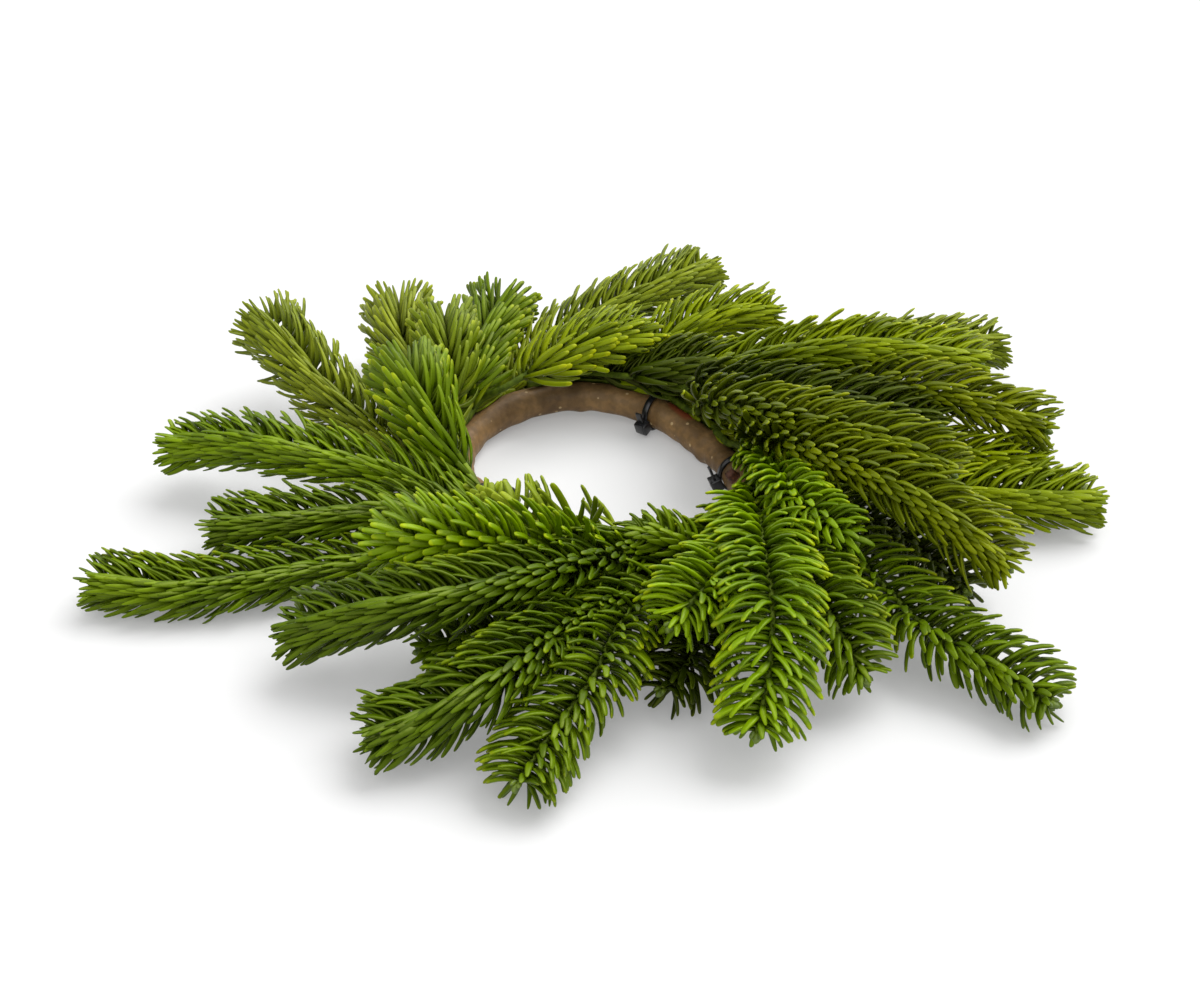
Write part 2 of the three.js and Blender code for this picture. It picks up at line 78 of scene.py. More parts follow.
# Each spray: where its stem leaves the ring (degrees), its lane, its look, its tone,
# and its points from the ring to the tip.
SPRAYS = [
    ("left_bright", 205, "top", "plume", "leaf",
     [(-69, -13, 32), (-79, 3, 44), (-87, 30, 44)]),
    ("back_left_far", 195, "outer", "brush", "pale",
     [(-88, 5, 14), (-120, 37, 24), (-139, 61, 33), (-156, 83, 38)]),
    ("back_left_dark", 180, "shoulder", "brush", "pale",
     [(-77, 37, 22), (-90, 70, 28), (-96, 111, 30)]),
    ("back_left_short", 177, "top", "upright", "moss",
     [(-67, 28, 26), (-70, 50, 38), (-73, 83, 40)]),
    ("back_left_fan", 165, "outer", "fan", "green",
     [(-64, 40, 20), (-59, 78, 26), (-47, 122, 28)]),
    ("back_bright", 148, "top", "upright", "bright",
     [(-46, 40, 26), (-16, 57, 36), (17, 74, 36)]),
    ("back_far_left", 137, "outer", "slim", "pale",
     [(-32, 90, 16), (4, 119, 24), (49, 154, 26)]),
    ("back_far_right", 113, "outer", "slim", "bright",
     [(13, 83, 18), (42, 99, 26), (79, 107, 26)]),
    ("back_dark", 108, "top", "swept", "dark",
     [(9, 52, 25), (34, 48, 30), (60, 40, 26)]),
    ("right_back_pale", 88, "outer", "slim", "pale",
     [(65, 68, 18), (118, 79, 24), (177, 93, 18)]),
    ("right_back_gold", 86, "shoulder", "swept", "bright",
     [(55, 45, 34), (100, 37, 46), (162, 38, 38)]),
    ("right_dark", 81, "top", "draped", "dark",
     [(53, 12, 40), (98, -1, 40), (141, -5, 32)]),
    ("right_middle", 64, "outer", "draped", "bright",
     [(108, 7, 20), (151, -11, 20), (185, -11, 16)]),
    ("right_upper", 60, "shoulder", "draped", "olive",
     [(80, 36, 30), (128, 9, 42), (185, -7, 30)]),
    ("right_olive_upper", 56, "top", "draped", "olive",
     [(36, 11, 36), (71, -28, 50), (112, -58, 54), (137, -72, 48)]),
    ("right_far", 40, "outer", "swept", "bright",
     [(110, -20, 12), (161, -31, 14), (202, -30, 12)]),
    ("right_olive_lower", 36, "shoulder", "draped", "olive",
     [(67, -34, 44), (103, -74, 50), (132, -97, 42), (155, -107, 26)]),
    ("front_right", 4, "shoulder", "comb", "green",
     [(71, -96, 30), (81, -146, 32), (95, -163, 12)]),
    ("right_low_dark", 15, "outer", "comb", "dark",
     [(96, -42, 16), (117, -70, 18), (140, -104, 14)]),
    ("right_curl", 20, "top", "curl", "lime",
     [(61, -29, 32), (72, -77, 44), (86, -95, 40), (97, -95, 30)]),
    ("front_right_far", 349, "outer", "comb", "green",
     [(93, -78, 18), (118, -132, 20), (142, -152, 16), (164, -173, 12)]),
    ("front_centre", 345, "top", "comb", "lime",
     [(56, -114, 44), (57, -156, 46), (55, -177, 34), (49, -200, 14)]),
    ("front_small", 321, "top", "curl", "green",
     [(33, -88, 28), (18, -89, 34), (2, -87, 34)]),
    ("front_low", 325, "outer", "comb", "dark",
     [(36, -119, 16), (27, -146, 14), (13, -164, 10)]),
    ("front_curl", 337, "shoulder", "comb", "lime",
     [(46, -112, 36), (29, -147, 44), (16, -159, 34)]),
    ("front_droop", 312, "shoulder", "comb", "green",
     [(4, -134, 26), (-8, -172, 26), (-23, -195, 18), (-37, -223, 12)]),
    ("front_left_long", 300, "outer", "swept", "deep",
     [(-16, -137, 26), (-41, -175, 30), (-65, -185, 20), (-93, -192, 12)]),
    ("front_left_big", 297, "top", "swept", "deep",
     [(-27, -122, 38), (-60, -143, 42), (-90, -139, 32), (-126, -132, 16)]),
    ("front_left_lime", 286, "shoulder", "crest", "lime",
     [(-35, -107, 41), (-61, -115, 48), (-92, -107, 42)]),
    ("front_left_low", 276, "outer", "comb", "leaf",
     [(-28, -119, 16), (-53, -132, 16), (-79, -137, 12)]),
    # front_inner's tone, light, is painted light: a lighter copy of pale for needles that face away
    # from the key light.
    ("front_inner", 273, "top", "standing", "light",
     [(-20, -87, 32), (-40, -68, 32), (-57, -41, 26)]),
    ("left_middle", 262, "shoulder", "slim", "deep",
     [(-76, -58, 24), (-116, -59, 22), (-164, -58, 16)]),
    ("left_long", 252, "outer", "slim", "green",
     [(-84, -72, 12), (-122, -82, 12), (-164, -92, 11), (-208, -88, 12)]),
    ("left_upper", 228, "outer", "slim", "leaf",
     [(-82, -33, 24), (-114, -27, 30), (-148, -12, 28), (-188, 0, 20)]),
]

# ---- The fine needles ----

# How the needles of a spray grow. Angles are in degrees from the twig's direction.
# side, top, tip: lean of the needles beside and above the twig, and of the last ones.
# top_share, near_share: length of the needles above the twig, and of those on its near side.
# tip_length, tip_run: length of the last needles, and how far back they reach full length.
# curve: how far the end turns towards the tip of the twig. arch and droop: how far a side
# needle starts upwards and ends downwards; where droop is negative, the needles stand up.
# crowd: how far needles are gathered at the sides. spacing: from one needle to the next.
LOOKS = {
    "comb": {"length": 25, "width": 3.3, "side": 74, "top": 26, "tip": 74,
             "top_share": 0.54, "near_share": 0.6, "tip_length": 11, "tip_run": 13,
             "curve": 32, "arch": 0.38, "droop": 0.65, "crowd": 0.28, "spacing": 0.46},
    "curl": {"length": 19, "width": 3.3, "side": 76, "top": 34, "tip": 62,
             "top_share": 0.60, "near_share": 0.8, "tip_length": 12, "tip_run": 14,
             "curve": 50, "arch": 0.50, "droop": 0.55, "crowd": 0.22, "spacing": 0.48},
    "swept": {"length": 26, "width": 3.2, "side": 60, "top": 14, "tip": 80,
              "top_share": 0.66, "near_share": 0.95, "tip_length": 14, "tip_run": 16,
              "curve": 40, "arch": 0.46, "droop": 0.22, "crowd": 0.18, "spacing": 0.31},
    "crest": {"length": 25, "width": 3.3, "side": 62, "top": 56, "tip": 56,
              "top_share": 0.95, "near_share": 0.6, "tip_length": 18, "tip_run": 14,
              "curve": 34, "arch": 0.50, "droop": 0.05, "crowd": 0.05, "spacing": 0.40},
    "draped": {"length": 26, "width": 3.0, "side": 50, "top": 30, "tip": 72,
               "top_share": 0.85, "near_share": 0.40, "tip_length": 13, "tip_run": 18,
               "curve": 36, "arch": 0.36, "droop": 0.15, "crowd": 0.14, "spacing": 0.42},
    "slim": {"length": 24, "width": 2.8, "side": 54, "top": 20, "tip": 80,
             "top_share": 0.72, "near_share": 0.9, "tip_length": 14, "tip_run": 16,
             "curve": 36, "arch": 0.42, "droop": 0.10, "crowd": 0.14, "spacing": 0.29},
    "upright": {"length": 23, "width": 2.3, "side": 52, "top": 26, "tip": 54,
                "top_share": 0.80, "near_share": 1.0, "tip_length": 17, "tip_run": 14,
                "curve": 42, "arch": 0.20, "droop": 0.05, "crowd": 0.14, "spacing": 0.31},
    "plume": {"length": 27, "width": 2.5, "side": 50, "top": 30, "tip": 68,
              "top_share": 0.86, "near_share": 1.0, "tip_length": 20, "tip_run": 14,
              "curve": 40, "arch": 0.10, "droop": 0.0, "crowd": 0.10, "spacing": 0.29},
    "fan": {"length": 24, "width": 2.2, "side": 54, "top": 32, "tip": 72,
            "top_share": 0.85, "near_share": 1.0, "tip_length": 17, "tip_run": 14,
            "curve": 34, "arch": 0.16, "droop": 0.0, "crowd": 0.14, "spacing": 0.30},
    "brush": {"length": 26, "width": 2.1, "side": 56, "top": 40, "tip": 88,
              "top_share": 0.92, "near_share": 0.85, "tip_length": 17, "tip_run": 12,
              "curve": 48, "arch": 0.20, "droop": 0.05, "crowd": 0.10, "spacing": 0.27},
    "standing": {"length": 27, "width": 3.4, "side": 54, "top": 50, "tip": 40,
                 "top_share": 1.0, "near_share": 0.6, "tip_length": 8, "tip_run": 62,
                 "curve": 22, "arch": 0.6, "droop": -0.25, "crowd": 0.1, "spacing": 0.80},
}
# Sprays whose stem is bare for longer than the rest.
BARE = {"front_centre": 34, "front_right": 24, "right_curl": 20, "right_low_dark": 20}
BARE_STEM = 8.0
# Towards the root, needles are sparser, lie closer to the twig and are more even in length.
BASE_RUN = 62.0
BASE_LEAN = 0.45
BASE_SHARE = 0.9
BASE_THINNING = 0.8
# Needles above the twig, and on the near side of one that lies across, are more slender and
# keep the colour of the middle up to their end; those on the near side lie closer to the twig.
NEAR_LEAN = 0.35
TOP_TAPER = 1.1
TAPER_FROM = 0.4
TOP_COLOUR = 0.82
# A look whose needles are nearly as long above the twig as beside it keeps them nearly as wide.
EVEN_LOOK = 0.95
EVEN_NEEDLE = 0.7
# How quickly a needle counts as a side one, as it turns from the top to the side.
SIDEWAYS_POWER = 0.9
# How far the needles above the twig open to its left and right, for each unit of crowd.
SPLAY = 2.2
# Needles below the twig: more lean (degrees), at least this share of the length, and a tone drawn
# darker as painted shade.
UNDER_LEAN = 10
UNDER_SHARE = 0.85
UNDER_SHADE = 0.6
# How far the first needle sits from the tip of the twig, and how near a needle may come to it.
# Going back from the tip, needles open to their full lean and grow to their full length
# between the starts below and TIP_OPENING or tip_run. At the tip, a needle on top keeps these
# shares of a side needle's lean and length, and every needle these shares of its curve, its
# arch and droop, and its width.
TIP_INSET = 0.4
LEAST_INSET = 0.2
OPENING_START = -6
TIP_OPENING = 16.0
GROWN_START = -2
TIP_TOP_LEAN = 0.35
TIP_TOP_LENGTH = 0.65
TIP_CURVE = 0.35
TIP_STAND = 0.4
TIP_WIDTH = 0.85
# Chance: spreads of normal draws and ends of even ones.
ROW_JITTER = (-0.3, 0.3)
TURN_SPREAD = 0.06
LEAN_SPREAD = 2.2
STRAY_SHARE = 0.08
STRAY_LEAN = 12.0
LENGTH_SPREAD = 0.05
LENGTH_RANGE = (0.85, 1.12)
CURVE_RANGE = (0.55, 1.45)
FALL_RANGE = (0.6, 1.4)
DIRECTION_SPREAD = 0.03
FLAT_SPREAD = 0.15
WIDTH_RANGE = (0.9, 1.1)
FIRST_SEED = 100
# A needle starts this share of the twig's radius from its middle, ends at least this many
# degrees from its direction, and turns its flat side up by this much.
ROOT_DEPTH = 0.7
LEAST_LEAN = 3
FLAT_LIFT = 0.6
# Room that the middle of a needle keeps from the floor and the ring, and its lowest point.
FLOOR_ROOM = 0.9
RING_ROOM = 1.0
NEEDLE_FLOOR = 0.15
# Needles that leave this near the root of a spray are left off where they would cover the
# ring between these angles, which the photograph shows bare.
ON_RING_RUN = 50.0
OPEN_RING = (-25, 200)
# Places along a needle, with its width and thickness there as shares of its full width:
# narrow at the root, widest near its blunt end.
STATIONS = np.array([0.0, 0.07, 0.22, 0.42, 0.62, 0.80, 0.92, 0.975])
WIDTHS = np.array([0.50, 0.66, 0.86, 0.98, 1.03, 1.04, 0.97, 0.72])
THICKNESSES = np.array([0.38, 0.42, 0.48, 0.52, 0.52, 0.52, 0.48, 0.34])
# Cross-section: shares of half the width and half the thickness, with a groove on top.
SECTION = np.array([(1.0, 0.0), (0.60, 0.86), (0.0, 0.46), (-0.60, 0.86),
                    (-1.0, 0.0), (-0.6, -0.8), (0.0, -1.0), (0.6, -0.8)])

# ---- Twigs, buds, ring and ties ----

CURVE_STEPS = 60
TWIG_STEPS = 240
# A centripetal curve takes the square root of each distance: this power of its square.
CENTRIPETAL_POWER = 0.25
LEAST_KNOT = 1e-4
TWIG = {"past_end": 0.8, "step": 1.2, "sides": 10, "ripple": 0.05, "ripple_rate": 1.9,
        "spread": 0.02}
# The end buds. spread: how far a bud sits from the twig's middle; lean: how far it leans out.
MIDDLE_BUD = {"long": 4.4, "wide": 1.7, "spread": 0.0, "lean": 0.0}
SIDE_BUD = {"long": 3.2, "wide": 1.2, "spread": 1.1, "lean": 0.45}
BUDS = {"count": 4, "turn": 2.2, "start": 0.6, "rows": 7, "sides": 10, "least": 0.08, "floor": 0.2}
# A bud's outline: part of an ellipse, drawn in a little, and more so at its foot.
BUD_OUTLINE = {"rate": 1.9, "widest": 0.75, "roundness": 1.33, "waist": 0.85, "foot": 0.7}

RING_LINE_STEP = 1.5
RING_TURNS = 300
RING_POINTS = 40
# Swollen places on the branch: angle, half spread in degrees, height.
KNOTS = ((34, 3.0, 0.7), (101, 2.4, 0.5), (152, 3.5, 0.45),
         (222, 3.0, 0.6), (290, 2.5, 0.5), (349, 3.0, 0.9))
RIPPLE_HEIGHT = (0.03, 0.10)
RIPPLE_PHASE = (0, 6)
RIPPLES_ALONG = (9, 17, 31, 46)
RIPPLES_ROUND = (0, 1, 2)
RING_SEED = 7
STUB_SHAPE = {"start": 3.0, "inset": 0.4, "rows": 10, "sides": 18, "taper": 0.86}
STUB_FLARE = {"height": 0.5, "from": 5.6, "fade": 0.9}
STUB_SPLINTERS = (-0.7, 0.4)
STUB_SEED = 3

STRAP_STEPS = 96
STRAP_CORNER = 0.25
STRAP_SLACK = 0.1
STRAP_FLOOR = 0.02
EDGE_STEPS = 3
HEAD_SINK = 0.3
HEAD_EDGE = 0.7
LIP = {"sink": 0.9, "past": 0.3, "below": 0.5, "top_inset": 1.2, "side_inset": 0.8, "edge": 0.3}
TAIL_EDGE = 0.25

# ---- Colours, materials, camera and light ----

# Colours (red, green, blue out of 255): the root, the middle and the end of a needle.
# The dark root colour is painted shade, where the needles crowd together at the twig.
TONES = {
    "green": ((22, 36, 0), (78, 101, 0), (124, 138, 4)),
    "deep": ((16, 28, 0), (68, 90, 0), (112, 130, 4)),
    "leaf": ((28, 44, 0), (88, 113, 0), (134, 148, 4)),
    "dark": ((12, 20, 0), (48, 62, 0), (96, 107, 6)),
    "bright": ((34, 48, 0), (108, 124, 0), (152, 160, 6)),
    "lime": ((34, 54, 0), (98, 127, 0), (142, 158, 2)),
    "olive": ((28, 36, 0), (98, 110, 0), (142, 150, 8)),
    "moss": ((28, 38, 0), (90, 107, 6), (134, 146, 22)),
    "pale": ((38, 50, 6), (102, 115, 18), (144, 154, 38)),
    # light: a lighter copy of pale, painted light for the standing needles of front_inner, which
    # face away from the key light.
    "light": ((44, 58, 6), (112, 129, 18), (156, 168, 40)),
}
# A scale is that of a noise in the frame's metres, and ends are where its ramp begins and
# ends. middle: from where to where along a needle its middle colour reaches; before it the
# colour darkens towards the root's painted shade. shades: the darkest, usual and lightest
# needle, at random, with painted shade drawing the needles below the twig towards the darkest.
# patches: slow changes from place to place. The depth of a relief is in metres.
NEEDLE_LOOK = {
    "middle": (0.34, 0.84), "wander_scale": 260, "wander": 0.35,
    "shades": ((0.50, 0.54, 0.50), (0.95, 0.95, 0.95), (1.20, 1.16, 1.0)),
    "patch_scale": 22, "patch_detail": 2.0, "patch_ends": (0.35, 0.65),
    "patches": ((0.80, 0.84, 0.82), (1.12, 1.08, 0.95)),
    "roughness": 0.36, "gloss": 0.34, "gloss_tint": (0.95, 1.0, 0.25),
    "relief": {"scale": 900, "detail": 2.0, "strength": 0.25, "depth": 0.0004},
}
BARK_LOOK = {
    "tone_scale": 55, "tone_detail": 4.0, "tone_ends": (0.30, 0.70),
    "tones": ((90, 67, 38), (136, 106, 66)),
    "mottle_scale": 320, "mottle_ends": (0.42, 0.60),
    "mottles": ((0.80, 0.80, 0.78), (1.06, 1.04, 1.0)),
    "dot_scale": 170, "dot_ends": (0.09, 0.14), "dot": (176, 150, 108),
    "scar_scale": 38, "scar_detail": 1.0, "scar_ends": (0.66, 0.70), "scar": (120, 58, 30),
    "roughness": 0.55, "gloss": 0.35, "relief_ends": (0.2, 0.8), "dot_share": 0.5,
    "relief": {"scale": 420, "detail": 4.0, "strength": 0.35, "depth": 0.0006},
}
GRAIN_ENDS = (0.3, 0.7)
BLACK, WHITE = (0, 0, 0), (1, 1, 1)

CAMERA = {"elevation": 32.0, "distance": 1100.0, "target": (-5.0, -6.5, 0.0), "lens": 79.2,
          "sensor": 36, "reach": 50}
# Soft lights far away: where each comes from, how many degrees it spans, and its strength.
KEY_LIGHT = {"place": (0.80, 0.52, 1.5), "spread": 56, "power": 3.4}
FILL_LIGHT = {"place": (-0.2, -1.2, 1.4), "spread": 60, "power": 0.6}
STUDIO_LIGHT = 1.0
# The floor, in metres.
FLOOR = {"size": 12, "place": (0, 2, 0), "grey": 0.42, "roughness": 0.9, "glow": 0.24}


def waves(table, degrees):
    """Waves round the ring: a table of waves per turn, height and phase in degrees."""
    return sum(h * np.cos(np.radians(n * degrees + p)) for n, h, p in table)


def branch_radius(degrees):
    return BRANCH_RADIUS + waves(BRANCH_WAVES, degrees)


def ring_centre(degrees):
    degrees = np.asarray(degrees, float)
    reach = RING_RADIUS + waves(RING_WAVES, degrees)
    rise = RING_RISE * (1 - np.cos(np.radians(LOW_SPOTS * (degrees - FIRST_LOW_SPOT)))) / 2
    flat = branch_radius(degrees) * math.cos(math.pi / RING_SIDES)
    a = np.radians(degrees)
    height = flat - LOW_SPOT_SINK + rise
    return np.stack([reach * np.cos(a), reach * np.sin(a) + RING_CENTRE_Y, height], -1)


def ring_axes(degrees):
    """The ring's clockwise direction, seen from above, and its outward side."""
    along = ring_centre(degrees - 0.5) - ring_centre(degrees + 0.5)
    along = unit(along * np.array([1, 1, 0]))
    return along, np.cross(UP, along)


def on_ring(degrees, facing, distance):
    _, outward = ring_axes(degrees)
    reach = branch_radius(degrees) + distance
    f = math.radians(facing)
    return ring_centre(degrees) + outward * reach * math.cos(f) + UP * reach * math.sin(f)


def linear(colour):
    """A colour out of 255 as the shader's linear value, by the sRGB curve."""
    return tuple(((c / 255 + 0.055) / 1.055) ** 2.4 if c > 10 else c / 255 / 12.92 for c in colour)


def unit(v):
    return v / np.maximum(np.linalg.norm(v, axis=-1, keepdims=True), 1e-12)


def smoothstep(x, low, high):
    t = np.clip((x - low) / (high - low), 0, 1)
    return t * t * (3 - 2 * t)


# ---- Curves ----

def smooth_curve(points, count):
    """A centripetal Catmull-Rom curve through the points, sampled evenly by length."""
    p = np.array(points, float)
    p = np.vstack([2 * p[0] - p[1], p, 2 * p[-1] - p[-2]])
    fine = []
    for i in range(1, len(p) - 2):
        p0, p1, p2, p3 = p[i - 1:i + 3]
        d0, d1, d2 = (max(np.sum((b - a) ** 2) ** CENTRIPETAL_POWER, LEAST_KNOT)
                      for a, b in ((p0, p1), (p1, p2), (p2, p3)))
        t1 = ((p1 - p0) / d0 - (p2 - p0) / (d0 + d1) + (p2 - p1) / d1) * d1
        t2 = ((p2 - p1) / d1 - (p3 - p1) / (d1 + d2) + (p3 - p2) / d2) * d1
        t = np.linspace(0, 1, CURVE_STEPS, endpoint=i == len(p) - 3)[:, None]
        square, cube = 3 * (p2 - p1) - 2 * t1 - t2, 2 * (p1 - p2) + t1 + t2
        fine.append(p1 + t1 * t + square * t ** 2 + cube * t ** 3)
    fine = np.vstack(fine)
    run = np.concatenate([[0], np.cumsum(np.linalg.norm(np.diff(fine, axis=0), axis=1))])
    even = np.linspace(0, run[-1], count)
    return np.stack([np.interp(even, run, fine[:, k]) for k in range(3)], -1), run[-1]


class Twig:
    """A spray's twig, in the wreath's coordinates."""

    def __init__(self, leaves, lane, points):
        facing = LANES[lane]
        seat = GAP + STEM_RADIUS
        run = [on_ring(leaves + part * STEM_RUN, facing, seat) for part in (1, 0.5, 0)]
        lift = on_ring(leaves - LIFT_OFF["turn"], facing, seat + LIFT_OFF["rise"])
        free = [np.array(q, float) for q in points]
        free[-1] = free[-1] + unit(free[-2] - free[-1]) * TIP_SETBACK
        self.line, self.length = smooth_curve([*run, lift, *free], TWIG_STEPS)
        self.forward = unit(np.gradient(self.line, axis=0))

    def at(self, s):
        """Position and axes (forward, side, above) at each length s along the twig."""
        x = np.asarray(s, float) / self.length * (len(self.line) - 1)
        k = np.arange(len(self.line))
        point = np.stack([np.interp(x, k, self.line[:, i]) for i in range(3)], -1)
        forward = unit(np.stack([np.interp(x, k, self.forward[:, i]) for i in range(3)], -1))
        side = unit(np.cross(forward, UP))
        return point, forward, side, np.cross(side, forward)

    def radius(self, s):
        return STEM_RADIUS + (TIP_RADIUS - STEM_RADIUS) * np.asarray(s, float) / self.length


RING_LINE = ring_centre(np.arange(0, 360, RING_LINE_STEP))


def clear_of_ring(points, room):
    """Points moved straight out of the ring's branch, where they are in it."""
    flat = points.reshape(-1, 3)
    gap = flat[:, None, :] - RING_LINE[None, :, :]
    d = np.linalg.norm(gap, axis=-1)
    near = d.argmin(1)
    rows = np.arange(len(flat))
    push = np.clip(BRANCH_RADIUS + room - d[rows, near], 0, None)
    return (flat + unit(gap[rows, near]) * push[:, None]).reshape(points.shape)


# ---- Meshes ----

def new_object(name, vertices, faces, attributes=None):
    mesh = bpy.data.meshes.new(name)
    world = (vertices - MIDDLE) * MM
    mesh.from_pydata(world.tolist(), [], faces)
    for key, values in (attributes or {}).items():
        layer = mesh.attributes.new(key, "FLOAT", "POINT")
        layer.data.foreach_set("value", np.asarray(values, np.float32))
    mesh.shade_smooth()
    mesh.update()
    piece = bpy.data.objects.new(name, mesh)
    bpy.context.scene.collection.objects.link(piece)
    return piece


def grid_faces(rows, sides, start=0, closed=False):
    """Four-sided faces between rows of points; closed joins the last row to the first."""
    faces = []
    for i in range(rows if closed else rows - 1):
        a, b = start + i * sides, start + (i + 1) % rows * sides
        faces.extend((a + j, a + (j + 1) % sides, b + (j + 1) % sides, b + j) for j in range(sides))
    return faces


def tube_faces(rows, sides, start=0):
    """The faces of a tube, with one at each end."""
    last = start + (rows - 1) * sides
    ends = [tuple(reversed(range(start, start + sides))), tuple(range(last, last + sides))]
    return grid_faces(rows, sides, start) + ends


def turned(faces):
    """The same faces, facing the other way."""
    return [face[::-1] for face in faces]


def needle_faces(count):
    """Faces of needles in one mesh, each closed at its root and drawn to a point at its end."""
    sides, rings = len(SECTION), len(STATIONS)
    each = sides * rings + 1
    faces = []
    for start in range(0, count * each, each):
        last, tip = start + (rings - 1) * sides, start + each - 1
        faces += grid_faces(rings, sides, start)
        faces += [(last + j, last + (j + 1) % sides, tip) for j in range(sides)]
        faces.append(tuple(reversed(range(start, start + sides))))
    return faces


def covers_ring(ends, s):
    """Which needles end over or inside the part of the ring that is left open."""
    x, y = ends[:, 0], ends[:, 1] - RING_CENTRE_Y
    degrees = np.degrees(np.arctan2(y, x))
    degrees = np.where(degrees < OPEN_RING[0], degrees + 360, degrees)
    inside = np.hypot(x, y) < RING_RADIUS + waves(RING_WAVES, degrees)
    return inside & (degrees < OPEN_RING[1]) & (s < ON_RING_RUN)


def needle_paths(twig, look, bare, rng):
    """The middle line of every needle of a spray, and what its form and colour depend on."""
    k = np.arange(int(twig.length / look["spacing"]))
    back = (k + rng.uniform(*ROW_JITTER, len(k))) * look["spacing"]
    s = twig.length - TIP_INSET - back * (1 + BASE_THINNING * (back / twig.length) ** 2)
    k, s = k[s > bare], s[s > bare].clip(None, twig.length - LEAST_INSET)
    count = len(k)
    turn = k * GOLDEN_ANGLE + rng.normal(0, TURN_SPREAD, count)
    turn = turn - look["crowd"] * np.sin(2 * turn)
    point, forward, side, above = twig.at(s)
    radial = side * np.cos(turn)[:, None] + above * np.sin(turn)[:, None]
    sideways = np.abs(np.cos(turn)) ** SIDEWAYS_POWER
    under = np.clip(-np.sin(turn), 0, 1)
    near = np.clip(-radial[:, 1], 0, 1)
    flat_near = near * (look["near_share"] < 1)
    from_tip = twig.length - s
    opening = smoothstep(from_tip, OPENING_START, TIP_OPENING)
    grown = smoothstep(from_tip, GROWN_START, look["tip_run"])
    base = 1 - smoothstep(s, bare, min(BASE_RUN, twig.length / 2))

    lean = look["top"] + (look["side"] - look["top"]) * sideways + UNDER_LEAN * under
    tip_lean = look["tip"] * (TIP_TOP_LEAN + (1 - TIP_TOP_LEAN) * sideways)
    lean = tip_lean * (1 - opening) + lean * opening
    lean = lean * (1 - BASE_LEAN * base * (look["droop"] >= 0))
    lean = lean * (1 - NEAR_LEAN * flat_near * opening)
    stray = rng.normal(0, STRAY_LEAN, count) * (rng.uniform(0, 1, count) < STRAY_SHARE)
    lean = np.radians(lean + rng.normal(0, LEAN_SPREAD, count) + stray)

    share = look["top_share"] + (1 - look["top_share"]) * sideways
    share = np.maximum(share, UNDER_SHARE * under)
    share = share + (BASE_SHARE - share) * base
    share = share * (1 + (look["near_share"] - 1) * near)
    tip_length = look["tip_length"] * (TIP_TOP_LENGTH + (1 - TIP_TOP_LENGTH) * sideways)
    length = tip_length * (1 - grown) + look["length"] * share * grown
    length = length * rng.normal(1, LENGTH_SPREAD, count).clip(*LENGTH_RANGE)
    curve = math.radians(look["curve"]) * (TIP_CURVE + (1 - TIP_CURVE) * opening)
    curve = curve * rng.uniform(*CURVE_RANGE, count)

    first = lean + curve / 2
    last = np.maximum(lean - curve, math.radians(LEAST_LEAN))
    stand = sideways[:, None] * (TIP_STAND + (1 - TIP_STAND) * opening[:, None])
    arch = UP * look["arch"] * stand
    fall = UP * (look["droop"] * rng.uniform(*FALL_RANGE, count)[:, None]) * stand
    left_or_right = np.sign(np.cos(turn)) * SPLAY * look["crowd"] * (1 - sideways) * opening
    splay = side * left_or_right[:, None]
    d0 = forward * np.cos(first)[:, None] + (radial + arch) * np.sin(first)[:, None]
    d1 = forward * np.cos(last)[:, None] + (radial - fall) * np.sin(last)[:, None]
    d0 = unit(d0 + splay / 2)
    d1 = unit(d1 + splay + rng.normal(0, DIRECTION_SPREAD, (count, 3)))

    half_length = (length / 2)[:, None]
    root = point + radial * (twig.radius(s) * ROOT_DEPTH)[:, None]
    middle = root + d0 * half_length
    end = middle + d1 * half_length
    t = np.append(STATIONS, 1.0)[None, :, None]
    path = root[:, None] * (1 - t) ** 2 + 2 * middle[:, None] * t * (1 - t) + end[:, None] * t ** 2
    outer = np.maximum(sideways * (1 - flat_near), EVEN_NEEDLE * (look["top_share"] >= EVEN_LOOK))
    kept = ~covers_ring(end, s)
    return [q[kept] for q in (path, radial, forward, opening, under, outer)]


